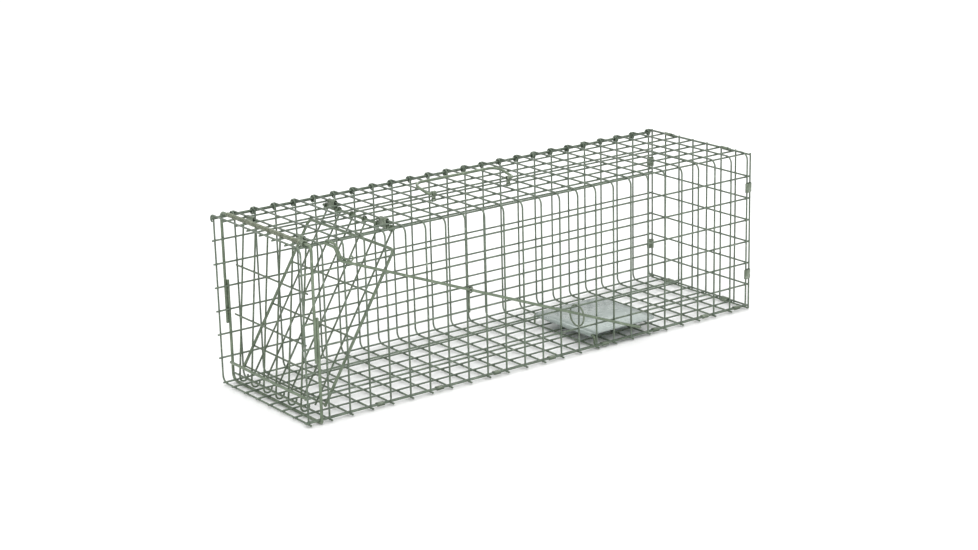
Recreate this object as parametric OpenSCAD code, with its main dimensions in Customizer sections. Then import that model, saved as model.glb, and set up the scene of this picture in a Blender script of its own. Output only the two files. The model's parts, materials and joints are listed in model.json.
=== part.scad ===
// Live catch trap: a welded wire mesh cage with a sloping drop door, a hanging front flap,
// a treadle plate that pulls a trigger rod, and a folding carry handle.
// +X points to the closed rear end, +Z up. The origin is under the middle of the bounding box.

/* [Mesh cage] */
// Mesh cells along the cage
cells_long = 24; // [24:1:30]
// Mesh cells across the floor and up the walls
cells_across = 7; // [7:1:7]
// Mesh pitch along the cage
pitch_x = 25.4; // [25:0.1:26]
// Mesh pitch across the floor and roof
pitch_y = 24.6; // [24.4:0.1:25.4]
// Mesh pitch up the walls
pitch_z = 26.2; // [26:0.1:26.6]
// Diameter of the mesh wire
mesh_d = 2; // [1.8:0.1:2]
// Centreline radius of the bend in each mesh sheet
sheet_bend_r = 8; // [7:0.5:9]

/* [Front frame and fittings] */
// Diameter of the frame, lock bail and handle wire
frame_d = 3.2; // [3:0.1:3.2]
// Cells from the rear end to the front frame
frame_cell = 23.5; // [23.4:0.05:23.6]
// Length over which the two frame hoops lie side by side
frame_overlap = 48; // [30:1:60]
// Height at which the upper hoop's legs end
upper_hoop_foot = 67; // [55:1:80]

/* [Door and flap] */
// Cells from the rear end to the door hinge
door_hinge_cell = 19; // [19:1:19]
// Cells from the rear end to the flap hinge
flap_hinge_cell = 23; // [23:1:23]
// Cells from the rear end to the door's lower edge
door_foot_cell = 23.15; // [23.1:0.05:23.2]
// Height of the door's lower edge
door_foot_z = 13; // [12:0.5:15]
// Length of the flap's straight wires below the hinge
flap_drop = 170; // [166:1:170]
// Lean of the flap from upright
flap_lean = 5.1; // [4.5:0.1:6]
// Diameter of the flap's hinge wire
flap_pin_d = 2.4; // [2:0.1:2.4]

/* [Treadle and trigger] */
// Length of the treadle plate along the cage
treadle_l = 97; // [85:1:98]
// Width of the treadle plate
treadle_w = 106; // [100:1:106]
// Offset of the treadle's middle from the middle of the cage
treadle_y = -27; // [-27:1:-15]
// Height of the treadle's upper face
treadle_z = 16.5; // [16.5:0.5:17.5]
// Cells from the rear end to the treadle's hinge
treadle_cell = 9; // [9:1:9]
// Thickness of the treadle sheet
sheet_t = 1.2; // [1:0.1:1.4]
// Diameter of the trigger rod
rod_d = 3; // [2.8:0.1:3]
// Cells from the rear end to the rod's crank
crank_cell = 6.5; // [6.5:0.05:6.55]
// Rise of the rod from its crank to its front end, in degrees
rod_rise = 21.3; // [21:0.1:21.4]
// Outside diameter of the keeper ring
keeper_od = 26; // [24:1:28]

/* [Carry handle] */
// Cells between the handle's two pivots
handle_cells = 4; // [4:1:4]
// Cells from the rear end to the handle's rear pivot
handle_cell = 11.5; // [9.5:1:13.5]
// Reach of the handle from its pivots to its grip
handle_reach = 30; // [28:1:50]
// Lean of the resting handle above the roof, in degrees
handle_lean = 12; // [10:1:60]

/* [Hidden] */
$fn = 24;
touch = 0.02;
running_gap = 0.08;
mesh_r = mesh_d / 2;
frame_r = frame_d / 2;
rod_r = rod_d / 2;
// Half of the fore and aft offset between the two mesh sheets
sheet_offset = 1.2;
long_wire_rear_stub = 2.4;
long_wire_front_stub = 3.4;
floor_stub = 1.6;
clip_d = 2;
clip_r = clip_d / 2;
strip_t = 0.8;
strip_gap = 0.05;
strip_r = mesh_r + strip_gap + strip_t;
seam_clip_l = 9;
rear_clip_l = 11;
hanger_l = 13;

// Height of the lengthwise and the crosswise wires in the floor and the roof
floor_long_z = frame_d + mesh_r + 0.05;
floor_cross_z = floor_long_z - mesh_d - touch;
roof_long_z = floor_long_z + cells_across * pitch_z;
roof_cross_z = roof_long_z + mesh_d + touch;
// Half widths to the lengthwise and the crosswise wires in the walls
wall_long_y = cells_across * pitch_y / 2;
wall_cross_y = wall_long_y + mesh_d + touch;
hoop_y = wall_long_y + mesh_r + frame_r + 0.05;
hoop_top_z = roof_long_z + mesh_r + frame_r + 0.05;

// Seam between the floor's near edge wire and the near wall's lowest wire
floor_edge_y = -wall_long_y + 2.5;
// Seam between the roof's far edge wire and the far wall's highest wire
roof_edge_y = wall_long_y - 1.7;
roof_edge_z = roof_long_z - 0.45;
far_top_z = roof_long_z - 2.25;
wrap_r = 4;
wrap_y = wall_long_y - 1;

// Rear panel
rear_bar_x = long_wire_rear_stub + mesh_r + 0.1;
rear_upright_x = rear_bar_x + mesh_d + touch;
rear_top_clip_y = 2 * pitch_y;
rear_side_clip_cells = [1.5, 5.5];

seam_clip_cells = [0.5, 2.5, 5.5, 8.5, 11.5, 14.5, 17.5, 20.5];

// Door, seen along its own slope from the hinge
hinge_z = roof_long_z - mesh_r - 0.35 - frame_r - running_gap - mesh_d;
door_hinge_x = front_sheet_x(door_hinge_cell);
door_foot_x = cell_x(door_foot_cell);
door_l = norm([door_hinge_x - door_foot_x, hinge_z - door_foot_z]);
door_slope = atan2(hinge_z - door_foot_z, door_hinge_x - door_foot_x);
door_eye_r = frame_r + running_gap + mesh_r;
door_wire_side = door_eye_r;
door_cross_side = door_wire_side - mesh_d - touch;
bail_side = door_wire_side - mesh_r - frame_r - touch;
bail_y = 81;
bail_top = 20;
bail_foot = door_l - 3;
bail_corner_r = 6;
door_cross_at = [70, 120, 170, 194];
hinge_clip_y = 2 * pitch_y;
door_rod_half = 68;

// Flap, seen along its own length from the hinge
flap_hinge_x = front_sheet_x(flap_hinge_cell);
flap_eye_r = flap_pin_d / 2 + running_gap + mesh_r;
flap_hook_r = 5;
flap_cross_at = [48, 102, 167];
flap_bar_at = 157;
flap_cross_half = 71;
flap_bar_half = 77;
flap_rod_half = 70;

// Treadle and trigger
treadle_pin_d = 2.4;
treadle_x = rear_sheet_x(treadle_cell);
curl_in_r = treadle_pin_d / 2 + running_gap;
curl_out_r = curl_in_r + sheet_t;
treadle_pin_z = treadle_z - curl_out_r;
treadle_corner_r = 10;
treadle_rim = 2;
staple_reach = 1.3;
curl_inset = 3;
rod_y = -(wall_cross_y + mesh_r + 0.4 + rod_r);
crank_gap = 0.7;
crank_z = treadle_z - sheet_t - crank_gap - rod_r;
crank_tip_y = -61;
crank_bend_r = 6;
rod_l = 413;
keeper_cell = 10.15;
keeper_wire = 2;
keeper_y = -88;
keeper_d = 2;
keeper_r = (keeper_od - keeper_d) / 2;
guide_cell = 16;
guide_wire = 3;
guide_side = 2.7;

// Handle
handle_pivot_z = roof_cross_z + mesh_r + 4.6;
handle_y = -pitch_y / 2;
handle_corner_r = 12;
handle_stub = 7;
pivot_clip_w = 5;
pivot_clip_r = 4.2;

// Offsets that put the origin under the middle of the bounding box
front_reach = cells_long * pitch_x + long_wire_front_stub;
rear_reach = rear_upright_x + strip_r;
near_reach = -keeper_y + keeper_od / 2;
far_reach = hoop_y + frame_r;
shift_x = (front_reach - rear_reach) / 2;
shift_y = (near_reach - far_reach) / 2;

// Place along the cage, counted in cells forward from the rear end
function cell_x(cells) = -cells * pitch_x;
// The near wall and roof sheet's wires lie a little forward, the far wall and floor's a little aft
function front_sheet_x(cells) = cell_x(cells) - sheet_offset;
function rear_sheet_x(cells) = cell_x(cells) + sheet_offset;
function wire_y(i) = -wall_long_y + i * pitch_y;
function wire_z(i) = floor_long_z + i * pitch_z;

module place() translate([shift_x, shift_y, 0]) children();

// Stand a flat outline in the YZ plane or in the XZ plane
module in_yz() rotate([90, 0, 90]) children();
module in_xz() rotate([90, 0, 0]) children();

// Straight wire between two points
module wire(from, to, d) {
  v = to - from;
  translate(from)
    rotate([0, acos(v.z / norm(v)), atan2(v.y, v.x)])
      cylinder(h = norm(v), d = d);
}

// Arc of round wire in the XY plane
module wire_arc(r, d, start, sweep)
  rotate([0, 0, start])
    rotate_extrude(angle = sweep)
      translate([r, 0]) circle(d = d);

// Bent wire in the XY plane from the origin along +X; each step is [length, bend radius, turn]
module formed_wire(steps, d, i = 0) {
  if (i < len(steps)) {
    run = steps[i][0];
    r = steps[i][1];
    turn = steps[i][2];
    side = turn < 0 ? -1 : 1;
    if (run > 0) rotate([0, 90, 0]) cylinder(h = run, d = d);
    if (turn != 0)
      mirror([0, turn < 0 ? 1 : 0, 0])
        translate([run, r, 0]) wire_arc(r, d, -90, abs(turn));
    translate([run, side * r, 0])
      rotate([0, 0, turn])
        translate([0, -side * r, 0]) {
          // A slight swell closes the joint after a bend that isn't square
          if (turn % 90 != 0 && i + 1 < len(steps)) sphere(d = d + 2 * touch);
          formed_wire(steps, d, i + 1);
        }
  }
}

// Outline round two parallel wires at a and b
module strip_outline(a, b, r) {
  for (end = [a, b]) translate(end) circle(r = r);
  translate((a + b) / 2)
    rotate(atan2(b.y - a.y, b.x - a.x)) square([norm(b - a), 2 * (r - touch)], center = true);
}

// Folded strip clip, l long, closed round two parallel wires at a and b
module strip_clip(a, b, l, inner_r = mesh_r + strip_gap)
  linear_extrude(l, center = true)
    difference() {
      strip_outline(a, b, inner_r + strip_t);
      strip_outline(a, b, inner_r);
    }

// Folded strip that hangs a hinge wire from the roof
module hanger(x, y, inner_r)
  translate([x, y, 0]) in_xz() strip_clip([0, roof_cross_z], [0, hinge_z], hanger_l, inner_r);

module long_wire(y, z)
  wire([cell_x(cells_long) - long_wire_front_stub, y, z], [long_wire_rear_stub, y, z], mesh_d);

module near_wall_uprights() color("#66735f") place()
  for (i = [0 : cells_long])
    wire([front_sheet_x(i), -wall_cross_y, floor_long_z - 1.5],
         [front_sheet_x(i), -wall_cross_y, roof_cross_z - sheet_bend_r], mesh_d);

module near_top_bends() color("#66735f") place()
  for (i = [0 : cells_long])
    translate([front_sheet_x(i), -(wall_cross_y - sheet_bend_r), roof_cross_z - sheet_bend_r])
      in_yz() wire_arc(sheet_bend_r, mesh_d, 90, 90);

module roof_cross_wires() color("#66735f") place()
  for (i = [0 : cells_long])
    wire([front_sheet_x(i), -(wall_cross_y - sheet_bend_r), roof_cross_z],
         [front_sheet_x(i), wrap_y, roof_cross_z], mesh_d);

// Ends of the roof's wires, wrapped over the far wall's top wire
module roof_seam_wraps() color("#8d998a") place()
  for (i = [0 : cells_long])
    translate([front_sheet_x(i), wrap_y, roof_cross_z - wrap_r])
      in_yz() wire_arc(wrap_r, mesh_d, -90, 180);

module near_wall_long_wires() color("#66735f") place() {
  for (i = [0 : cells_across - 1])
    long_wire(-wall_long_y, wire_z(i));
  // The highest one lies at the roof's end of the bend
  long_wire(-(wall_cross_y - sheet_bend_r), roof_long_z);
}

module roof_long_wires() color("#66735f") place() {
  for (i = [1 : cells_across - 1])
    long_wire(wire_y(i), roof_long_z);
  long_wire(roof_edge_y, roof_edge_z);
}

module far_wall_uprights() color("#66735f") place()
  for (i = [0 : cells_long])
    wire([rear_sheet_x(i), wall_cross_y, floor_cross_z + sheet_bend_r],
         [rear_sheet_x(i), wall_cross_y, roof_long_z], mesh_d);

module far_bottom_bends() color("#66735f") place()
  for (i = [0 : cells_long])
    translate([rear_sheet_x(i), wall_cross_y - sheet_bend_r, floor_cross_z + sheet_bend_r])
      in_yz() wire_arc(sheet_bend_r, mesh_d, -90, 90);

module floor_cross_wires() color("#66735f") place()
  for (i = [0 : cells_long])
    wire([rear_sheet_x(i), -wall_cross_y - floor_stub, floor_cross_z],
         [rear_sheet_x(i), wall_cross_y - sheet_bend_r, floor_cross_z], mesh_d);

module far_wall_long_wires() color("#66735f") place() {
  for (i = [1 : cells_across - 1])
    long_wire(wall_long_y, wire_z(i));
  long_wire(wall_long_y, far_top_z);
}

module floor_long_wires() color("#66735f") place() {
  long_wire(floor_edge_y, floor_long_z);
  for (i = [1 : cells_across - 1])
    long_wire(wire_y(i), floor_long_z);
  // The farthest one lies at the floor's end of the bend
  long_wire(wall_cross_y - sheet_bend_r, floor_long_z);
}

module floor_seam_clips() color("#7d8a78") place()
  for (cells = seam_clip_cells)
    translate([cell_x(cells), 0, 0])
      in_yz() strip_clip([-wall_long_y, floor_long_z], [floor_edge_y, floor_long_z], seam_clip_l);

module rear_panel_uprights() color("#66735f") place()
  for (i = [0 : cells_across])
    wire([rear_upright_x, wire_y(i), 0], [rear_upright_x, wire_y(i), roof_long_z + 1.5], mesh_d);

module rear_panel_bars() color("#66735f") place()
  for (i = [0 : cells_across])
    wire([rear_bar_x, -wall_cross_y, wire_z(i)], [rear_bar_x, wall_cross_y, wire_z(i)], mesh_d);

module rear_panel_clips() color("#7d8a78") place() {
  for (side = [-1, 1])
    translate([0, side * rear_top_clip_y, 0]) in_xz() {
      strip_clip([front_sheet_x(0), roof_cross_z], [rear_bar_x, roof_long_z], rear_clip_l);
      strip_clip([rear_sheet_x(0), floor_cross_z], [rear_bar_x, floor_long_z], rear_clip_l);
    }
  for (cells = rear_side_clip_cells)
    translate([0, 0, wire_z(cells)]) {
      strip_clip([front_sheet_x(0), -wall_cross_y], [rear_upright_x, -wall_long_y], rear_clip_l);
      strip_clip([rear_sheet_x(0), wall_cross_y], [rear_upright_x, wall_long_y], rear_clip_l);
    }
}

module front_hoop_upper() color("#6b7d66") place() {
  corner_r = 5;
  leg = hoop_top_z - upper_hoop_foot - corner_r;
  translate([cell_x(frame_cell) - frame_r - touch, -hoop_y, upper_hoop_foot])
    in_yz() rotate([0, 0, 90])
      formed_wire([[leg, corner_r, -90], [2 * (hoop_y - corner_r), corner_r, -90], [leg, 0, 0]],
                  frame_d);
}

module front_hoop_lower() color("#6b7d66") place() {
  near_r = 2.7;
  far_r = 8;
  top = upper_hoop_foot + frame_overlap;
  translate([cell_x(frame_cell) + frame_r + touch, -hoop_y, top])
    in_yz() rotate([0, 0, -90])
      formed_wire([[top - frame_r - near_r, near_r, 90],
                   [2 * hoop_y - near_r - far_r, far_r, 90],
                   [top - frame_r - far_r, 0, 0]], frame_d);
}

module door_hinge_rod() color("#6b7d66") place()
  wire([door_hinge_x, -door_rod_half, hinge_z], [door_hinge_x, door_rod_half, hinge_z], frame_d);

module door_hinge_clips() color("#a9b8a5") place()
  for (side = [-1, 1])
    hanger(door_hinge_x, side * hinge_clip_y, frame_r + strip_gap);

// The door's own frame: X down the slope, Z to its inner side
module on_door() translate([door_hinge_x, 0, hinge_z]) rotate([0, 180 - door_slope, 0]) children();

module door_slope_wires() color("#5f6c59") place() on_door() {
  eye_turn = 300;
  for (i = [1 : cells_across - 1])
    translate([0, wire_y(i), 0]) in_xz() {
      wire_arc(door_eye_r, mesh_d, 90, eye_turn);
      translate([0, door_wire_side, 0]) rotate([0, 90, 0]) cylinder(h = door_l, d = mesh_d);
    }
}

module door_cross_wires() color("#5f6c59") place() on_door() {
  reach = bail_y - frame_r - touch;
  for (x = door_cross_at)
    wire([x, -reach, door_cross_side], [x, reach, door_cross_side], mesh_d);
}

module lock_bail() color("#55634f") place() on_door() {
  leg = bail_foot - bail_top - bail_corner_r;
  translate([bail_foot, -bail_y, bail_side])
    rotate([0, 0, 180])
      formed_wire([[leg, bail_corner_r, -90],
                   [2 * (bail_y - bail_corner_r), bail_corner_r, -90],
                   [leg, 0, 0]], frame_d);
}

module flap_hinge_rod() color("#6b7d66") place()
  wire([flap_hinge_x, -flap_rod_half, hinge_z], [flap_hinge_x, flap_rod_half, hinge_z], flap_pin_d);

module flap_hinge_clips() color("#a9b8a5") place()
  for (side = [-1, 1])
    hanger(flap_hinge_x, side * hinge_clip_y, flap_pin_d / 2 + strip_gap);

// The flap's own frame: X down the flap, Z to its inner side
module on_flap() translate([flap_hinge_x, 0, hinge_z]) rotate([0, 90 + flap_lean, 0]) children();

module flap_wires() color("#5f6c59") place() on_flap() {
  hook_turn = 200;
  for (i = [1 : cells_across - 1])
    translate([0, wire_y(i), 0]) in_xz() {
      wire_arc(flap_eye_r, mesh_d, -30, 300);
      translate([0, -flap_eye_r, 0]) formed_wire([[flap_drop, flap_hook_r, hook_turn]], mesh_d);
    }
}

module flap_cross_wires() color("#5f6c59") place() on_flap() {
  side = -flap_eye_r - mesh_d - touch;
  for (x = flap_cross_at)
    wire([x, -flap_cross_half, side], [x, flap_cross_half, side], mesh_d);
}

module flap_bar() color("#8b9c84") place() on_flap() {
  side = -flap_eye_r - mesh_r - frame_r - touch;
  wire([flap_bar_at, -flap_bar_half, side], [flap_bar_at, flap_bar_half, side], frame_d);
}

// Plate with a curl round its hinge wire in front and a bent-down rim behind
module treadle_plate() color("#9eaaa6") place()
  translate([treadle_x, treadle_y, 0]) {
    flat_z = treadle_z - sheet_t;
    translate([0, -treadle_w / 2, flat_z])
      cube([treadle_l - treadle_corner_r, treadle_w, sheet_t]);
    translate([treadle_l - treadle_corner_r, 0, flat_z]) {
      for (side = [-1, 1])
        translate([0, side * (treadle_w / 2 - treadle_corner_r), 0])
          cylinder(h = sheet_t, r = treadle_corner_r);
      translate([0, -(treadle_w / 2 - treadle_corner_r), 0])
        cube([treadle_corner_r, treadle_w - 2 * treadle_corner_r, sheet_t]);
    }
    translate([treadle_l - sheet_t, -(treadle_w / 2 - treadle_corner_r), flat_z - treadle_rim])
      cube([sheet_t, treadle_w - 2 * treadle_corner_r, treadle_rim + 0.2]);
    // The curl stops short of the bends in its hinge wire
    translate([0, treadle_w / 2 - curl_inset, treadle_pin_z])
      in_xz() linear_extrude(treadle_w - 2 * curl_inset)
        difference() {
          circle(r = curl_out_r);
          circle(r = curl_in_r);
          translate([0, -curl_out_r]) square([2 * curl_out_r, 2 * curl_out_r - sheet_t]);
        }
  }

// Long staple that the treadle swings on, standing on a floor wire
module treadle_hinge_wire() color("#55634f") place() {
  bend = 3;
  post = treadle_pin_z - bend - floor_cross_z - mesh_r - touch;
  span = treadle_w + 2 * staple_reach;
  translate([treadle_x, treadle_y - span / 2, treadle_pin_z - bend - post])
    in_yz() rotate([0, 0, 90])
      formed_wire([[post, bend, -90], [span - 2 * bend, bend, -90], [post, 0, 0]], treadle_pin_d);
}

// Rod outside the near wall; its crank reaches in under the treadle, its front end forms the catch
module trigger_rod() color("#6b7d66") place()
  translate([cell_x(crank_cell), rod_y, crank_z])
    rotate([0, 180 + rod_rise, 0]) {
      translate([0, crank_tip_y - rod_y, 0])
        rotate([0, 0, -90])
          formed_wire([[crank_tip_y - rod_y - crank_bend_r, crank_bend_r, 90], [rod_l, 0, 0]],
                      rod_d);
      translate([crank_bend_r + rod_l, 0, 0])
        rotate([-90, 0, 0])
          formed_wire([[8, 8, 48], [10, 8, -40], [12, 0, 0]], rod_d);
    }

// Ring that hangs on a near wall wire and keeps the rod against the wall
module keeper_ring() color("#a9b8a5") place() {
  hang = keeper_r - keeper_d / 2 - mesh_r - touch;
  drop = sqrt(pow(hang, 2) - pow(wall_long_y + keeper_y, 2));
  translate([cell_x(keeper_cell), keeper_y, wire_z(keeper_wire) - drop])
    in_yz() rotate_extrude() translate([keeper_r, 0]) circle(d = keeper_d);
}

// Wire loop that the rod slides through, with a tail welded to a near wall wire
module rod_guide() color("#7d8a78") place() {
  loop_r = rod_r + 0.5 + clip_r;
  tail_past_wire = 2;
  guide_x = front_sheet_x(guide_cell) + guide_side;
  rod_z = crank_z + (cell_x(crank_cell) - guide_x) * tan(rod_rise);
  translate([guide_x, rod_y, rod_z])
    rotate([0, 90 + rod_rise, 0])
      rotate_extrude() translate([loop_r, 0]) circle(d = clip_d);
  wire([guide_x, -wall_cross_y, wire_z(guide_wire) - tail_past_wire],
       [guide_x, -wall_cross_y, rod_z], clip_d);
}

// Close coil on the front hoop at the near top corner
module catch_coil() color("#6b7d66") place() {
  turns = 4;
  first_y = -77.5;
  for (i = [0 : turns - 1])
    translate([cell_x(frame_cell) - frame_r - touch, first_y + i * (clip_d + 0.1), hoop_top_z])
      in_xz() rotate_extrude() translate([frame_r + 0.05 + clip_r, 0]) circle(d = clip_d);
}

// Bail handle whose turned-in ends run in the two pivot clips
module carry_handle() color("#7f8f79") place() {
  span = handle_cells * pitch_x + pivot_clip_w + 2 * (frame_d + 1);
  translate([cell_x(handle_cell) + (span - handle_cells * pitch_x) / 2, handle_y, handle_pivot_z])
    rotate([handle_lean, 0, 0])
      translate([-handle_stub - frame_r, 0, 0])
        formed_wire([[handle_stub - frame_r, frame_d, 90],
                     [handle_reach - frame_d - handle_corner_r, handle_corner_r, 90],
                     [span - 2 * handle_corner_r, handle_corner_r, 90],
                     [handle_reach - frame_d - handle_corner_r, frame_d, 90],
                     [handle_stub - frame_r, 0, 0]], frame_d);
}

// Figure-eight clips: the upper eye holds the handle, the lower one grips a roof wire
module handle_clips() color("#a9b8a5") place() {
  roof_eye_r = handle_pivot_z - roof_long_z - pivot_clip_r + 0.1;
  for (cells = [handle_cell, handle_cell + handle_cells])
    translate([cell_x(cells) - pivot_clip_w / 2, handle_y, 0]) rotate([0, 90, 0])
      difference() {
        union() {
          translate([-handle_pivot_z, 0, 0]) cylinder(h = pivot_clip_w, r = pivot_clip_r);
          translate([-roof_long_z, 0, 0]) cylinder(h = pivot_clip_w, r = roof_eye_r);
        }
        translate([-handle_pivot_z, 0, -1])
          cylinder(h = pivot_clip_w + 2, r = frame_r + running_gap);
        translate([-roof_long_z, 0, -1]) cylinder(h = pivot_clip_w + 2, r = mesh_r + 0.05);
      }
}

near_wall_uprights();
near_wall_long_wires();
near_top_bends();
roof_cross_wires();
roof_long_wires();
roof_seam_wraps();
far_wall_uprights();
far_wall_long_wires();
far_bottom_bends();
floor_cross_wires();
floor_long_wires();
floor_seam_clips();
rear_panel_uprights();
rear_panel_bars();
rear_panel_clips();
front_hoop_upper();
front_hoop_lower();
door_hinge_rod();
door_hinge_clips();
door_slope_wires();
door_cross_wires();
lock_bail();
flap_hinge_rod();
flap_hinge_clips();
flap_wires();
flap_cross_wires();
flap_bar();
treadle_plate();
treadle_hinge_wire();
trigger_rod();
keeper_ring();
rod_guide();
catch_coil();
carry_handle();
handle_clips();
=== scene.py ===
import json
import math
import random

import bmesh
import bpy
from mathutils import Matrix, Vector
from mathutils.geometry import intersect_line_line


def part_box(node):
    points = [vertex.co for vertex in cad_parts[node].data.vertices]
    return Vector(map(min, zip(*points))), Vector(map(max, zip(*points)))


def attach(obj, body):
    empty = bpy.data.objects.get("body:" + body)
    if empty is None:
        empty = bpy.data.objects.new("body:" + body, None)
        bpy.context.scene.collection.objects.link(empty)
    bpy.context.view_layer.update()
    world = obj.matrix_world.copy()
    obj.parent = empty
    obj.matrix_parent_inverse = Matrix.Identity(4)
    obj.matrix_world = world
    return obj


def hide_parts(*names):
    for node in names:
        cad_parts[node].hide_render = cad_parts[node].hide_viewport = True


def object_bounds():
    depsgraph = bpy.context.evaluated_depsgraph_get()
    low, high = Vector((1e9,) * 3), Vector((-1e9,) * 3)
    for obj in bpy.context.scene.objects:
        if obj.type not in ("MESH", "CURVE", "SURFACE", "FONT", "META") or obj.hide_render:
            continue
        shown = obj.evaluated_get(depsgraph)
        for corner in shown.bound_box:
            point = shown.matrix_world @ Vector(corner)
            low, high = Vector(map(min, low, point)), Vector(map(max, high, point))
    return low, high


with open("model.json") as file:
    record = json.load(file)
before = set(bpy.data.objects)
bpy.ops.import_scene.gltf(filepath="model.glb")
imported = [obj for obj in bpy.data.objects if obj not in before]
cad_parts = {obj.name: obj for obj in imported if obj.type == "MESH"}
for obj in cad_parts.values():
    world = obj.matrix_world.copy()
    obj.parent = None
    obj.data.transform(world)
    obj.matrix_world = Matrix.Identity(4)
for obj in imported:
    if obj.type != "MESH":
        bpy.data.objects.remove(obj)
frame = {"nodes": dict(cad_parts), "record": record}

CAD_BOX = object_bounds()
MM = 0.001
MESH_R = 1.0 * MM
FRAME_R = 1.6 * MM
PIN_R = 1.2 * MM
ROD_R = 1.5 * MM
CLIP_R = 1.0 * MM
STRIP_T = 0.8 * MM
# Clearances inside a folded strip and a hinge eye, and how far round an eye goes in degrees
STRIP_GAP = 0.1 * MM
EYE_GAP = 0.08 * MM
EYE_SWEEP = 300
# Sides of a round wire
SIDES = 14
UP = Vector((0, 0, 1))
ACROSS = Vector((0, 1, 0))
ALONG = Vector((1, 0, 0))
rng = random.Random(7)


# ---- The frame's solids ----

def solids(node):
    """Corner points of each separate solid in a CAD node."""
    mesh = bmesh.new()
    mesh.from_mesh(frame["nodes"][node].data)
    bmesh.ops.remove_doubles(mesh, verts=mesh.verts, dist=0.001 * MM)
    seen = set()
    found = []
    for first in mesh.verts:
        if first in seen:
            continue
        seen.add(first)
        group = [first]
        for vert in group:
            for edge in vert.link_edges:
                other = edge.other_vert(vert)
                if other not in seen:
                    seen.add(other)
                    group.append(other)
        found.append([vert.co.copy() for vert in group])
    mesh.free()
    return found


def corners(points):
    """Lowest and highest corner of some points."""
    low = Vector([min(p[i] for p in points) for i in range(3)])
    high = Vector([max(p[i] for p in points) for i in range(3)])
    return low, high


def middle(points):
    """Middle of the box round some points."""
    low, high = corners(points)
    return (low + high) / 2


def straight_wires(node):
    """Both ends of each straight wire in a node, for wires that lie along X, Y or Z."""
    ends = []
    for points in solids(node):
        low, high = corners(points)
        axis = max(range(3), key=lambda i: high[i] - low[i])
        start, end = middle(points), middle(points)
        start[axis], end[axis] = low[axis], high[axis]
        ends.append((start, end))
    return sorted(ends, key=lambda pair: tuple(round(v, 6) for v in pair[0]))


def joint_entry(name):
    """What the frame's record says of a joint."""
    return next(j for j in frame["record"]["behaviour"]["joints"] if j["name"] == name)


def joint_place(name):
    """Where a joint's axis passes."""
    return Vector(joint_entry(name)["pos_m"])


# ---- Materials ----

def painted(name, dark, base, worn, rough, wear=0.5, bump=0.25, metallic=0.35):
    """Painted metal: mottled colour, fine bump, uneven gloss and paler worn patches."""
    mat = bpy.data.materials.new(name)
    mat.use_nodes = True
    nodes, links = mat.node_tree.nodes, mat.node_tree.links
    shader = nodes["Principled BSDF"]
    shader.inputs["Metallic"].default_value = metallic
    shader.inputs["Specular IOR Level"].default_value = 0.5
    place = nodes.new("ShaderNodeTexCoord").outputs["Object"]

    def noise(scale, detail):
        node = nodes.new("ShaderNodeTexNoise")
        node.inputs["Scale"].default_value = scale
        node.inputs["Detail"].default_value = detail
        links.new(place, node.inputs["Vector"])
        return node.outputs["Fac"]

    def ramp(fac, low, high, first, last):
        node = nodes.new("ShaderNodeValToRGB")
        node.color_ramp.elements[0].position = low
        node.color_ramp.elements[1].position = high
        node.color_ramp.elements[0].color = first
        node.color_ramp.elements[1].color = last
        links.new(fac, node.inputs["Fac"])
        return node.outputs["Color"]

    mottle = ramp(noise(90, 4), 0.32, 0.7, (*dark, 1), (*base, 1))
    patches = ramp(noise(260, 6), 0.56, 0.74, (0, 0, 0, 1), (wear, wear, wear, 1))
    mix = nodes.new("ShaderNodeMix")
    mix.data_type = "RGBA"
    first_colour, second_colour, mixed_colour = mix.inputs[6], mix.inputs[7], mix.outputs[2]
    links.new(patches, mix.inputs["Factor"])
    links.new(mottle, first_colour)
    second_colour.default_value = (*worn, 1)
    links.new(mixed_colour, shader.inputs["Base Color"])
    low, high = rough
    gloss = ramp(noise(150, 3), 0.3, 0.75, (low, low, low, 1), (high, high, high, 1))
    links.new(gloss, shader.inputs["Roughness"])
    relief = nodes.new("ShaderNodeBump")
    relief.inputs["Strength"].default_value = bump
    relief.inputs["Distance"].default_value = 0.1 * MM
    links.new(noise(900, 5), relief.inputs["Height"])
    links.new(relief.outputs["Normal"], shader.inputs["Normal"])
    return mat


# Each look: its dark, base and worn colours, then its least and greatest roughness
MATERIALS = {
    "mesh_wire": painted("mesh paint", (0.095, 0.125, 0.090), (0.155, 0.195, 0.145),
                         (0.36, 0.42, 0.34), (0.28, 0.5)),
    "door_mesh_wire": painted("door paint", (0.080, 0.108, 0.070), (0.130, 0.168, 0.114),
                              (0.32, 0.38, 0.29), (0.30, 0.5)),
    "frame_wire": painted("frame paint", (0.120, 0.158, 0.105), (0.180, 0.228, 0.158),
                          (0.36, 0.41, 0.32), (0.28, 0.48)),
    "clip_wire": painted("clip paint", (0.115, 0.145, 0.100), (0.185, 0.225, 0.165),
                         (0.44, 0.49, 0.41), (0.26, 0.46), wear=0.7),
    "treadle_sheet": painted("treadle paint", (0.295, 0.345, 0.325), (0.325, 0.375, 0.352),
                             (0.40, 0.44, 0.42), (0.18, 0.32), wear=0.08, bump=0.08, metallic=0.15),
    "wrap_wire": painted("wrap paint", (0.20, 0.225, 0.165), (0.31, 0.34, 0.26),
                         (0.50, 0.53, 0.43), (0.35, 0.6), wear=0.6),
}


# ---- Building meshes ----

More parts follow.
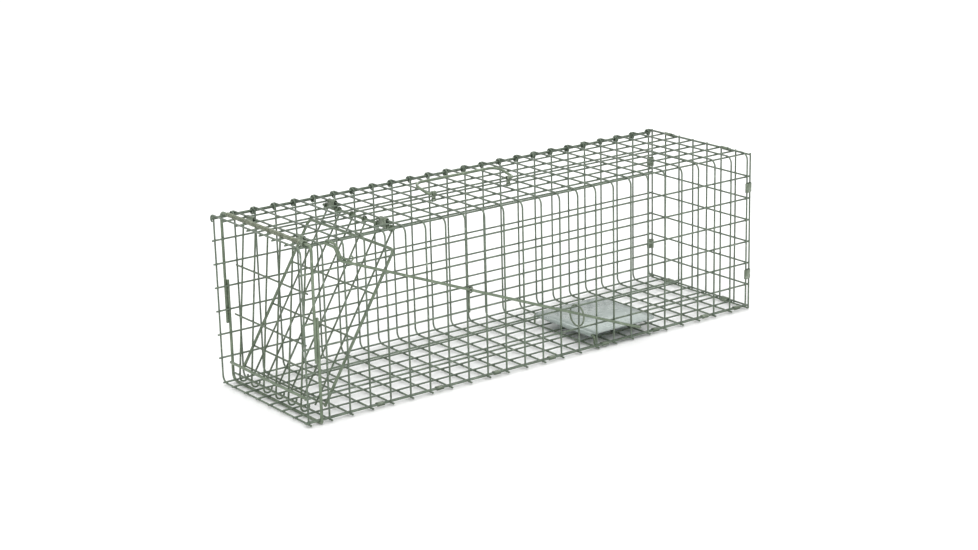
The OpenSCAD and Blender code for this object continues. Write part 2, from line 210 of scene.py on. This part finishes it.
class Piece:
    """A mesh that grows ring by ring, then rides on a body in place of its CAD nodes."""

    def __init__(self, name, body, slot, nodes=(), look=None):
        self.name, self.body, self.slot, self.nodes = name, body, slot, nodes
        self.look = look or slot
        self.mesh = bmesh.new()

    def loft(self, rings):
        """Skin over rings of points, with both ends closed."""
        rows = [[self.mesh.verts.new(p) for p in ring] for ring in rings]
        count = len(rows[0])
        for near, far in zip(rows, rows[1:]):
            for i in range(count):
                j = (i + 1) % count
                face = self.mesh.faces.new((near[i], near[j], far[j], far[i]))
                face.smooth = True
        self.mesh.faces.new(list(reversed(rows[0])))
        self.mesh.faces.new(rows[-1])

    def tube(self, path, radius, sides=SIDES):
        """Round wire along a path, with slightly rounded cut ends."""
        path = [Vector(p) for p in path]
        first, last = (path[1] - path[0]).normalized(), (path[-1] - path[-2]).normalized()
        ease, end_scale = 0.35 * radius, 0.72
        line = [path[0], path[0] + first * ease] + path[1:-1] + [path[-1] - last * ease, path[-1]]
        scale = [end_scale] + [1] * (len(line) - 2) + [end_scale]
        heading = first
        side = heading.orthogonal().normalized()
        rings = []
        for i, point in enumerate(line):
            ahead = line[min(i + 1, len(line) - 1)] - line[max(i - 1, 0)]
            if ahead.length > 1e-9:
                turned = heading.rotation_difference(ahead.normalized())
                side = turned @ side
                heading = ahead.normalized()
            side = (side - heading * side.dot(heading)).normalized()
            other = heading.cross(side)
            r = radius * scale[i]
            rings.append([point + (side * math.cos(a) + other * math.sin(a)) * r
                          for a in (math.tau * k / sides for k in range(sides))])
        self.loft(rings)

    def strip(self, path, half_widths, wide, thickness):
        """Sheet strip along a flat path; wide is the direction across it."""
        path = [Vector(p) for p in path]
        half_t = thickness / 2
        edge = 0.3 * thickness
        rings = []
        for i, point in enumerate(path):
            ahead = (path[min(i + 1, len(path) - 1)] - path[max(i - 1, 0)]).normalized()
            face = wide.cross(ahead).normalized()
            half = half_widths[i] if isinstance(half_widths, list) else half_widths
            outline = [(half, -half_t + edge), (half, half_t - edge), (half - edge, half_t),
                       (-half + edge, half_t), (-half, half_t - edge), (-half, -half_t + edge),
                       (-half + edge, -half_t), (half - edge, -half_t)]
            rings.append([point + wide * a + face * b for a, b in outline])
        self.loft(rings)

    def blob(self, centre, radii):
        """Rounded lump of weld metal or paint."""
        place = Matrix.Translation(centre) @ Matrix.Diagonal((*radii, 1))
        made = bmesh.ops.create_icosphere(self.mesh, subdivisions=2, radius=1, matrix=place)
        for face in {f for vert in made["verts"] for f in vert.link_faces}:
            face.smooth = True

    def finish(self):
        """Turn the mesh into an object on its body."""
        bmesh.ops.recalc_face_normals(self.mesh, faces=self.mesh.faces)
        data = bpy.data.meshes.new(self.name)
        self.mesh.to_mesh(data)
        self.mesh.free()
        obj = bpy.data.objects.new(self.name, data)
        bpy.context.scene.collection.objects.link(obj)
        data.materials.append(MATERIALS[self.look])
        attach(obj, self.body)
        if self.nodes:
            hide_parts(*self.nodes)


def arc(centre, radius, start, sweep, right, up, steps=None):
    """Points on an arc in the plane of right and up; angles in degrees."""
    steps = steps or max(4, int(abs(sweep) / 12))
    angles = (math.radians(start + sweep * k / steps) for k in range(steps + 1))
    return [centre + (right * math.cos(a) + up * math.sin(a)) * radius for a in angles]


def rounded(points, radii):
    """Path through points with each inner corner rounded to its radius."""
    steps = 8
    path = [points[0]]
    for before, corner, after, radius in zip(points, points[1:], points[2:], radii):
        into, out = (corner - before).normalized(), (after - corner).normalized()
        half = into.angle(out) / 2
        back = radius * math.tan(half)
        inward = (out - into).normalized()
        centre = corner + inward * (radius / math.cos(half))
        start = corner - into * back - centre
        normal = into.cross(out).normalized()
        for k in range(steps + 1):
            path.append(centre + Matrix.Rotation(2 * half * k / steps, 3, normal) @ start)
    return path + [points[-1]]


def helix(centre, axis, start, radius, turns, pitch, per_turn=14):
    """Coil round an axis; start is the direction of its first point."""
    side = axis.cross(start)
    path = []
    for k in range(int(turns * per_turn) + 1):
        a = math.tau * k / per_turn
        path.append(centre + axis * (pitch * k / per_turn)
                    + (start * math.cos(a) + side * math.sin(a)) * radius)
    return path


def sagged(start, end):
    """A straight wire with the slight unevenness of drawn wire."""
    amount, parts = 0.12 * MM, 12
    along = (end - start).normalized()
    side = along.orthogonal().normalized()
    other = along.cross(side)
    phase, second = rng.uniform(0, math.tau), rng.uniform(0, math.tau)
    path = []
    for k in range(parts + 1):
        t = k / parts
        fade = math.sin(math.pi * t)
        path.append(start.lerp(end, t) + side * amount * fade * math.sin(phase + 5 * t)
                    + other * amount * fade * math.sin(second + 7 * t))
    return path


# ---- Wires of the cage ----

def drawn(node, body, slot, radius):
    """Straight wires in place of a node's solids."""
    piece = Piece(node + "_drawn", body, slot, (node,))
    for start, end in straight_wires(node):
        piece.tube(sagged(start, end), radius)
    piece.finish()


def near_sheet_cross_wires():
    """Each wire runs up the near wall, bends over the roof and winds round the far top wires."""
    piece = Piece("near_wall_and_roof_cross_wires", "cage", "mesh_wire",
                  ("near_wall_uprights", "near_top_bends", "roof_cross_wires"))
    wraps = Piece("roof_seam_wraps_wound", "cage", "mesh_wire", ("roof_seam_wraps",))
    wrap_r, pitch = 3.35 * MM, 2.25 * MM
    wrap_wire_r = 0.97 * MESH_R
    least_turns, most_turns = 1.3, 2.1
    for wall, roof in zip(straight_wires("near_wall_uprights"), straight_wires("roof_cross_wires")):
        corner = Vector((wall[0].x, wall[0].y, roof[0].z))
        bend_r = corner.z - wall[1].z
        piece.tube(rounded([wall[0], corner, roof[1]], [bend_r]), MESH_R)
        centre = roof[1] - UP * wrap_r
        # The turns run toward -X, and the CAD box limits how many there are
        room = (centre.x - CAD_BOX[0][0] - MESH_R) / pitch
        turns = min(rng.uniform(least_turns, most_turns), room)
        wraps.tube(helix(centre, -ALONG, UP, wrap_r, turns, pitch), wrap_wire_r, sides=10)
    piece.finish()
    wraps.finish()


def far_sheet_cross_wires():
    """Each wire runs across the floor, bends and climbs the far wall; its near end is a knob."""
    piece = Piece("floor_and_far_wall_cross_wires", "cage", "mesh_wire",
                  ("floor_cross_wires", "far_bottom_bends", "far_wall_uprights"))
    knob_inset = 1.4 * MM
    knob_radii = (1.25 * MM, 1.4 * MM, 1.2 * MM)
    for floor, wall in zip(straight_wires("floor_cross_wires"), straight_wires("far_wall_uprights")):
        corner = Vector((floor[0].x, wall[0].y, floor[0].z))
        bend_r = wall[0].z - corner.z
        piece.tube(rounded([floor[0], corner, wall[1]], [bend_r]), MESH_R)
        piece.blob(floor[0] + ACROSS * knob_inset, knob_radii)
    piece.finish()


def level_with(point, start, end):
    """Whether a point is level with some part of a wire, or less than its radius past an end."""
    along = (point - start).dot((end - start).normalized())
    return -MESH_R < along < (end - start).length + MESH_R


def welds(name, body, slot, crossing, bars):
    """Pressed weld where wires cross, a little wider than the wires."""
    piece = Piece(name, body, slot)
    widest_gap = 2.9 * MM
    least_r, most_r = 1.15, 1.4  # in mm
    for a_start, a_end in crossing:
        for b_start, b_end in bars:
            nearest = intersect_line_line(a_start, a_end, b_start, b_end)
            if not nearest:
                continue
            on_a, on_b = nearest
            crosses = level_with(on_a, a_start, a_end) and level_with(on_b, b_start, b_end)
            if crosses and (on_a - on_b).length < widest_gap:
                r = rng.uniform(least_r, most_r) * MM
                piece.blob((on_a + on_b) / 2, (r, r, r))
    piece.finish()


# ---- Clips ----

def folded_clip(piece, a, b, wide, half, inner_r):
    """Strip folded round two parallel wires, with its two ends a little apart beyond b."""
    first_end, last_end = 35, -14
    out = (b - a).normalized()
    side = wide.cross(out)
    r = inner_r + STRIP_T / 2
    path = arc(b, r, first_end, 90 - first_end, out, side)
    path += arc(a, r, 90, 180, out, side)
    path += arc(b, r, -90, 90 + last_end, out, side)
    piece.strip(path, half, wide, STRIP_T)


def clip_ends(points, axis, rising):
    """Centres of the two wires in a clip that lies along an axis, and half the clip's length."""
    low, high = corners(points)
    reach = MESH_R + STRIP_T
    u, v = [i for i in range(3) if i != axis]
    a, b = middle(points), middle(points)
    a[u], b[u] = low[u] + reach, high[u] - reach
    a[v], b[v] = (low[v] + reach, high[v] - reach) if rising else (high[v] - reach, low[v] + reach)
    return a, b, (high[axis] - low[axis]) / 2


def seam_clips():
    """Clips along the floor's near edge."""
    piece = Piece("floor_seam_clips_folded", "cage", "clip_wire", ("floor_seam_clips",))
    for points in solids("floor_seam_clips"):
        a, b, half = clip_ends(points, 0, True)
        folded_clip(piece, b, a, ALONG, half, MESH_R + STRIP_GAP)
    piece.finish()


def rear_clips():
    """Clips that hold the rear panel: upright ones at the walls, level ones above and below."""
    piece = Piece("rear_panel_clips_folded", "cage", "clip_wire", ("rear_panel_clips",))
    middle_z = (CAD_BOX[0][2] + CAD_BOX[1][2]) / 2
    upright_least = 9 * MM
    for points in solids("rear_panel_clips"):
        low, high = corners(points)
        if high.z - low.z > upright_least:
            a, b, half = clip_ends(points, 2, low.y < 0)
            folded_clip(piece, a, b, UP, half, MESH_R + STRIP_GAP)
        else:
            a, b, half = clip_ends(points, 1, low.z < middle_z)
            folded_clip(piece, a, b, ACROSS, half, MESH_R + STRIP_GAP)
    piece.finish()


def hanger_clips(node, pin_r):
    """Strips folded over a roof wire that carry a hinge wire."""
    piece = Piece(node + "_folded", "cage", "clip_wire", (node,))
    hanger_gap = 0.05 * MM
    inner_r = pin_r + hanger_gap
    reach = inner_r + STRIP_T
    for points in solids(node):
        low, high = corners(points)
        upper, lower = middle(points), middle(points)
        upper.z, lower.z = high.z - reach, low.z + reach
        folded_clip(piece, upper, lower, ACROSS, (high.y - low.y) / 2, inner_r)
    piece.finish()


def handle_pivot_clips():
    """Strip wrapped round the handle's foot and a roof wire, with a doubled neck between."""
    piece = Piece("handle_clips_folded", "cage", "clip_wire", ("handle_clips",))
    pivot = joint_place("handle_fold")
    roof_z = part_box("roof_long_wires")[1][2] - MESH_R
    neck_gap = 0.4 * MM
    for points in solids("handle_clips"):
        low, high = corners(points)
        half = (high.x - low.x) / 2
        x = middle(points).x
        top, foot = Vector((x, pivot.y, pivot.z)), Vector((x, pivot.y, roof_z))
        for centre, wire_r, start in ((top, FRAME_R, -60), (foot, MESH_R, 120)):
            wrap = arc(centre, wire_r + STRIP_GAP + STRIP_T / 2, start, EYE_SWEEP, ACROSS, UP)
            piece.strip(wrap, half, ALONG, STRIP_T)
        neck_low, neck_high = foot + UP * (MESH_R + neck_gap), top - UP * (FRAME_R + neck_gap)
        piece.strip([neck_low, (neck_low + neck_high) / 2, neck_high], half, ALONG, 2 * STRIP_T)
    piece.finish()


# ---- Front frame ----

def bent_in_u(name, node, wire_r, bar_on_top, bend_radii):
    """Wire with a bar across the cage and two legs; returns the bar's near and far corners."""
    low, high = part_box(node)
    x = (low[0] + high[0]) / 2
    y_near, y_far = low[1] + wire_r, high[1] - wire_r
    leg_z, bar_z = (low[2], high[2] - wire_r) if bar_on_top else (high[2], low[2] + wire_r)
    near, far = Vector((x, y_near, bar_z)), Vector((x, y_far, bar_z))
    path = rounded([Vector((x, y_near, leg_z)), near, far, Vector((x, y_far, leg_z))], bend_radii)
    piece = Piece(name, "cage", "frame_wire", (node,))
    piece.tube(path, wire_r)
    piece.finish()
    return near, far


def hoop_wrapping(near, far):
    """Thin wire wound along the bar between two corners, tighter and looser by turns."""
    wrap = Piece("front_hoop_wrapping", "cage", "frame_wire", look="wrap_wire")
    thin = 0.5 * MM
    start_y, end_y = near.y + 14 * MM, far.y - 13 * MM
    turns, per_turn = 72, 12
    seat, looseness, drift = 0.8, 0.35, 0.5 * MM
    quick, slow, slow_drift = 0.31, 0.047, 0.083
    steps = turns * per_turn
    coil = []
    for k in range(steps + 1):
        a = math.tau * k / per_turn
        r = FRAME_R + thin * (seat + looseness * math.sin(k * quick) * math.sin(k * slow))
        y = start_y + (end_y - start_y) * k / steps + drift * math.sin(k * slow_drift)
        coil.append(Vector((near.x + r * math.cos(a), y, near.z + r * math.sin(a))))
    wrap.tube(coil, thin, sides=8)
    wrap.finish()


def front_hoops():
    """Upper hoop with its wrapping, and the lower hoop."""
    near, far = bent_in_u("front_hoop_upper_bent", "front_hoop_upper", FRAME_R, True,
                          [5 * MM, 5 * MM])
    hoop_wrapping(near, far)
    bent_in_u("front_hoop_lower_bent", "front_hoop_lower", FRAME_R, False, [2.7 * MM, 8 * MM])


def catch():
    """Coil on the front hoop that holds the rod's end."""
    low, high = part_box("catch_coil")
    centre = Vector(((low[0] + high[0]) / 2, low[1] + CLIP_R, (low[2] + high[2]) / 2))
    r = (high[2] - low[2]) / 2 - CLIP_R
    pitch = 2.1 * MM
    turns = (high[1] - low[1] - 2 * CLIP_R) / pitch
    piece = Piece("catch_coil_wound", "cage", "clip_wire", ("catch_coil",))
    piece.tube(helix(centre, ACROSS, UP, r, turns, pitch, 18), CLIP_R)
    piece.finish()


# ---- Door and flap ----

class Panel:
    """A hinged panel's own directions: down it, and to its inner side."""

    def __init__(self, joint, cross_node):
        self.hinge = joint_place(joint)
        bars = sorted(((a + b) / 2 for a, b in straight_wires(cross_node)), key=lambda p: -p.z)
        down = bars[-1] - bars[0]
        down.y = 0
        self.down = down.normalized()
        self.inner = Vector((-self.down.z, 0, self.down.x))
        if self.inner.x < 0:
            self.inner = -self.inner

    def at(self, y, along, side):
        """Place at a distance down the panel, and to its inner side."""
        point = self.hinge + self.down * along + self.inner * side
        point.y = y
        return point

    def span(self, points):
        """Least and greatest distance down the panel, and to its inner side."""
        flat = [Vector((p.x - self.hinge.x, 0, p.z - self.hinge.z)) for p in points]
        along = [p.dot(self.down) for p in flat]
        side = [p.dot(self.inner) for p in flat]
        return min(along), max(along), min(side), max(side)


def door():
    """Mesh door whose long wires end in eyes round its hinge rod."""
    panel = Panel("door_swing", "door_cross_wires")
    piece = Piece("door_slope_wires_hooked", "drop_door", "door_mesh_wire", ("door_slope_wires",))
    eye_r = FRAME_R + MESH_R + EYE_GAP
    wires = []
    for points in solids("door_slope_wires"):
        y = middle(points).y
        length = panel.span(points)[1]
        start, end = panel.at(y, 0, eye_r), panel.at(y, length, eye_r)
        eye = arc(panel.at(y, 0, 0), eye_r, 90, EYE_SWEEP, panel.down, panel.inner)
        piece.tube([end, panel.at(y, length / 2, eye_r)] + eye, MESH_R)
        wires.append((start, end))
    piece.finish()
    drawn("door_cross_wires", "drop_door", "door_mesh_wire", MESH_R)
    welds("door_welds", "drop_door", "door_mesh_wire", wires, straight_wires("door_cross_wires"))
    lock_bail(panel)


def lock_bail(panel):
    """Wire bent in a U beside the door."""
    points = solids("lock_bail")[0]
    low, high = corners(points)
    upper_end, foot, side_low, side_high = panel.span(points)
    bar, side = upper_end + FRAME_R, (side_low + side_high) / 2
    y_near, y_far = low.y + FRAME_R, high.y - FRAME_R
    bend_r = 6 * MM
    path = [panel.at(y_near, foot, side), panel.at(y_near, bar, side),
            panel.at(y_far, bar, side), panel.at(y_far, foot, side)]
    piece = Piece("lock_bail_bent", "drop_door", "frame_wire", ("lock_bail",))
    piece.tube(rounded(path, [bend_r, bend_r]), FRAME_R)
    piece.finish()


def flap():
    """Mesh flap whose long wires hang by eyes and end in hooks."""
    panel = Panel("flap_swing", "flap_cross_wires")
    piece = Piece("flap_wires_hooked", "front_flap", "door_mesh_wire", ("flap_wires",))
    eye_r = PIN_R + MESH_R + EYE_GAP
    hook_r, hook_sweep = 5 * MM, 200
    wires = []
    for points in solids("flap_wires"):
        y = middle(points).y
        drop = panel.span(points)[1] - hook_r - MESH_R
        eye = arc(panel.at(y, 0, 0), eye_r, -30, EYE_SWEEP, panel.down, panel.inner)
        hook = arc(panel.at(y, drop, hook_r - eye_r), hook_r, -90, hook_sweep, panel.down,
                   panel.inner)
        piece.tube(eye + [panel.at(y, drop / 2, -eye_r)] + hook, MESH_R)
        wires.append((panel.at(y, 0, -eye_r), panel.at(y, drop, -eye_r)))
    piece.finish()
    drawn("flap_cross_wires", "front_flap", "door_mesh_wire", MESH_R)
    drawn("flap_bar", "front_flap", "frame_wire", FRAME_R)
    welds("flap_welds", "front_flap", "door_mesh_wire", wires,
          straight_wires("flap_cross_wires") + straight_wires("flap_bar"))


# ---- Treadle, rod and handle ----

def treadle():
    """Sheet rolled round its hinge wire in front, with round corners and a rim behind."""
    low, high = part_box("treadle_plate")
    pin = joint_place("treadle_tilt")
    thick, corner_r, rim = 1.2 * MM, 10 * MM, 2 * MM
    curl_inset, notch = 3 * MM, 0.1 * MM
    middle_y, half = (low[1] + high[1]) / 2, (high[1] - low[1]) / 2
    top_z = high[2] - thick / 2
    flat_start, flat_end = pin.x + 1.2 * MM, high[0] - thick
    corner_x = flat_end - corner_r
    flat_steps, corner_steps = 9, 8

    def at(x, z=top_z):
        return Vector((x, middle_y, z))

    # The curl is narrower than the plate, and the width steps out just behind it
    path = arc(at(pin.x, pin.z), top_z - pin.z, 355, -265, ALONG, UP, 24)
    path.append(at(flat_start - notch))
    widths = [half - curl_inset] * len(path)
    for k in range(flat_steps + 1):
        path.append(at(flat_start + (corner_x - flat_start) * k / flat_steps))
        widths.append(half)
    for k in range(1, corner_steps + 1):
        a = math.pi / 2 * k / corner_steps
        path.append(at(corner_x + corner_r * math.sin(a)))
        widths.append(half - corner_r + corner_r * math.cos(a))
    path += arc(at(flat_end, top_z - thick / 2), thick / 2, 75, -75, ALONG, UP, 4)
    path.append(at(flat_end + thick / 2, top_z - thick / 2 - rim))
    widths += [half - corner_r] * (len(path) - len(widths))
    piece = Piece("treadle_plate_rolled", "treadle", "treadle_sheet", ("treadle_plate",))
    piece.strip(path, widths, ACROSS, thick)
    piece.finish()


def treadle_staple():
    """Hinge wire that stands on a floor wire and carries the treadle."""
    bent_in_u("treadle_hinge_wire_bent", "treadle_hinge_wire", PIN_R, True, [3 * MM, 3 * MM])


def rod_directions():
    """The rod's forward direction, and the upward one square to it."""
    rearward = Vector(joint_entry("trigger_slide")["axis"])
    return -rearward, Vector((-rearward.z, 0, rearward.x))


def s_strand(start, heading, bend_r, bends):
    """Points of a wire beyond start; each bend is its turn upward, in degrees, and the run after it."""
    def above(degrees):
        a = math.radians(degrees)
        return Vector((math.sin(a), 0, math.cos(a)))

    steps = 8
    points = []
    cursor = start
    for turn, run in bends:
        side = bend_r if turn > 0 else -bend_r
        centre = cursor + above(heading) * side
        points += [centre - above(heading + turn * k / steps) * side for k in range(1, steps + 1)]
        heading += turn
        cursor = points[-1] + above(heading - 90) * run
        points.append(cursor)
    return points


def trigger_rod():
    """Cranked rod; its front end is a double strand in an S that reaches the catch."""
    low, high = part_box("trigger_rod")
    forward, upward = rod_directions()
    straight_run, crank_r, bend_r = 427 * MM, 6 * MM, 8 * MM
    bends = ((48, 10 * MM), (-40, 12 * MM))
    crank = Vector((high[0] - ROD_R, low[1] + ROD_R, low[2] + ROD_R))
    tip = Vector((crank.x, high[1], crank.z))
    fork = crank + forward * straight_run
    heading = math.degrees(math.atan2(forward.z, -forward.x))
    strand = s_strand(fork, heading, bend_r, bends)
    piece = Piece("trigger_rod_bent", "trigger", "frame_wire", ("trigger_rod",))
    piece.tube(rounded([tip, crank, fork], [crank_r]) + strand, ROD_R)

    # The returning strand starts behind the fork and stops short of the end
    back_start, back_short, back_r = 6 * MM, 2 * MM, 0.86 * ROD_R
    strand_pitch = 2.1 * ROD_R
    beside = upward * strand_pitch
    last_way = (strand[-1] - strand[-2]).normalized()
    back = [fork - forward * back_start] + strand[:-1] + [strand[-1] - last_way * back_short]
    piece.tube([point + beside for point in back], back_r)

    eye_back, eye_rise, eye_r, eye_wire_r = 8.5 * MM, 4.6 * MM, 2.6 * MM, 0.9 * CLIP_R
    eye_centre = fork - forward * eye_back + upward * eye_rise
    piece.tube(arc(eye_centre, eye_r, 20, 330, forward, upward), eye_wire_r)
    piece.finish()


def keeper():
    """Ring on a near wall wire that keeps the rod against the wall."""
    low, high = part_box("keeper_ring")
    centre = Vector([(low[i] + high[i]) / 2 for i in range(3)])
    r = (high[2] - low[2]) / 2 - CLIP_R
    piece = Piece("keeper_ring_bent", "cage", "clip_wire", ("keeper_ring",))
    first_end, sweep = 110, 352
    piece.tube(arc(centre, r, first_end, sweep, ACROSS, UP, 48), CLIP_R)
    piece.finish()


def guide():
    """Loop that the rod slides through, on a tail that rises to it."""
    low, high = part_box("rod_guide")
    square = rod_directions()[1]
    loop_r = 3 * MM
    straight_share = 0.8
    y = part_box("trigger_rod")[0][1] + ROD_R
    centre = Vector(((low[0] + high[0]) / 2, y, high[2] - CLIP_R - loop_r * abs(square.z)))
    foot = Vector((centre.x, y + loop_r, low[2]))
    stem_end = foot + UP * (centre.z - foot.z) * straight_share
    piece = Piece("rod_guide_bent", "cage", "clip_wire", ("rod_guide",))
    piece.tube([foot, stem_end] + arc(centre, loop_r, 0, 345, ACROSS, square, 24), CLIP_R)
    piece.finish()


def handle():
    """Carrying loop whose two feet turn in the pivot clips."""
    low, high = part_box("carry_handle")
    pivot = joint_place("handle_fold")
    stub, foot_r, grip_r = 7 * MM, 3.2 * MM, 12 * MM
    grip = Vector((0, high[1] - FRAME_R - pivot.y, high[2] - FRAME_R - pivot.z))
    foot_a = Vector((low[0] + FRAME_R, pivot.y, pivot.z))
    foot_b = Vector((high[0] - FRAME_R, pivot.y, pivot.z))
    path = [foot_a + ALONG * stub, foot_a, foot_a + grip,
            foot_b + grip, foot_b, foot_b - ALONG * stub]
    piece = Piece("carry_handle_bent", "handle", "frame_wire", ("carry_handle",))
    piece.tube(rounded(path, [foot_r, grip_r, grip_r, foot_r]), FRAME_R)
    piece.finish()


# ---- Stage ----

def lamp(name, place, power, size):
    """Soft square lamp that faces the trap's middle."""
    aim = Vector((0, 0, 0.1))
    data = bpy.data.lights.new(name, "AREA")
    data.energy = power
    data.size = size
    obj = bpy.data.objects.new(name, data)
    obj.location = place
    obj.rotation_euler = (aim - Vector(place)).to_track_quat("-Z", "Y").to_euler()
    bpy.context.scene.collection.objects.link(obj)


def studio():
    """Pale floor, even white surroundings and two soft lamps."""
    floor_size, floor_z = 12, -0.5 * MM
    floor_white, floor_roughness = 0.97, 0.9
    bpy.ops.mesh.primitive_plane_add(size=floor_size, location=(0, 0, floor_z))
    floor = bpy.context.object
    floor.name = "studio_floor"
    mat = bpy.data.materials.new("studio floor")
    mat.use_nodes = True
    shader = mat.node_tree.nodes["Principled BSDF"]
    shader.inputs["Base Color"].default_value = (floor_white, floor_white, floor_white, 1)
    shader.inputs["Roughness"].default_value = floor_roughness
    floor.data.materials.append(mat)
    world = bpy.data.worlds.new("studio")
    world.use_nodes = True
    background = world.node_tree.nodes["Background"]
    background.inputs["Color"].default_value = (1, 1, 1, 1)
    background.inputs["Strength"].default_value = 1.0
    bpy.context.scene.world = world
    lamp("key", (-1.2, -1.6, 2.2), power=30, size=1.6)
    lamp("rim", (1.4, 1.2, 1.8), power=14, size=1.4)
    bpy.context.scene.view_settings.view_transform = "Standard"


def camera():
    """Above the near side of the open end, looking along the cage."""
    place = (-1.3514, -1.7989, 0.7535)
    azimuth, elevation, roll = (math.radians(angle) for angle in (-36.636, 16.574, -1.307))
    lens_mm, sensor_mm, clip_end = 77.1, 36, 20
    flat = math.cos(elevation)
    back = Vector((math.sin(azimuth) * flat, -math.cos(azimuth) * flat, math.sin(elevation)))
    level = (-back).cross(UP).normalized()
    upright = level.cross(-back)
    right = level * math.cos(roll) + upright * math.sin(roll)
    up = upright * math.cos(roll) - level * math.sin(roll)
    data = bpy.data.cameras.new("camera")
    data.lens = lens_mm
    data.sensor_width = sensor_mm
    data.clip_end = clip_end
    obj = bpy.data.objects.new("camera", data)
    turned = Matrix((right, up, back)).transposed().to_4x4()
    obj.matrix_world = Matrix.Translation(place) @ turned
    bpy.context.scene.collection.objects.link(obj)
    bpy.context.scene.camera = obj


# ---- The trap ----

near_sheet_cross_wires()
far_sheet_cross_wires()
for node in ("near_wall_long_wires", "roof_long_wires", "far_wall_long_wires", "floor_long_wires",
             "rear_panel_uprights", "rear_panel_bars"):
    drawn(node, "cage", "mesh_wire", MESH_R)
for name, crossing, bars in (("near_wall", "near_wall_uprights", "near_wall_long_wires"),
                             ("roof", "roof_cross_wires", "roof_long_wires"),
                             ("far_wall", "far_wall_uprights", "far_wall_long_wires"),
                             ("floor", "floor_cross_wires", "floor_long_wires"),
                             ("rear_panel", "rear_panel_uprights", "rear_panel_bars")):
    welds(name + "_welds", "cage", "mesh_wire", straight_wires(crossing), straight_wires(bars))
seam_clips()
rear_clips()
hanger_clips("door_hinge_clips", FRAME_R)
hanger_clips("flap_hinge_clips", PIN_R)
handle_pivot_clips()
drawn("door_hinge_rod", "cage", "frame_wire", FRAME_R)
drawn("flap_hinge_rod", "cage", "frame_wire", PIN_R)
front_hoops()
catch()
door()
flap()
treadle()
treadle_staple()
trigger_rod()
keeper()
guide()
handle()
studio()
camera()
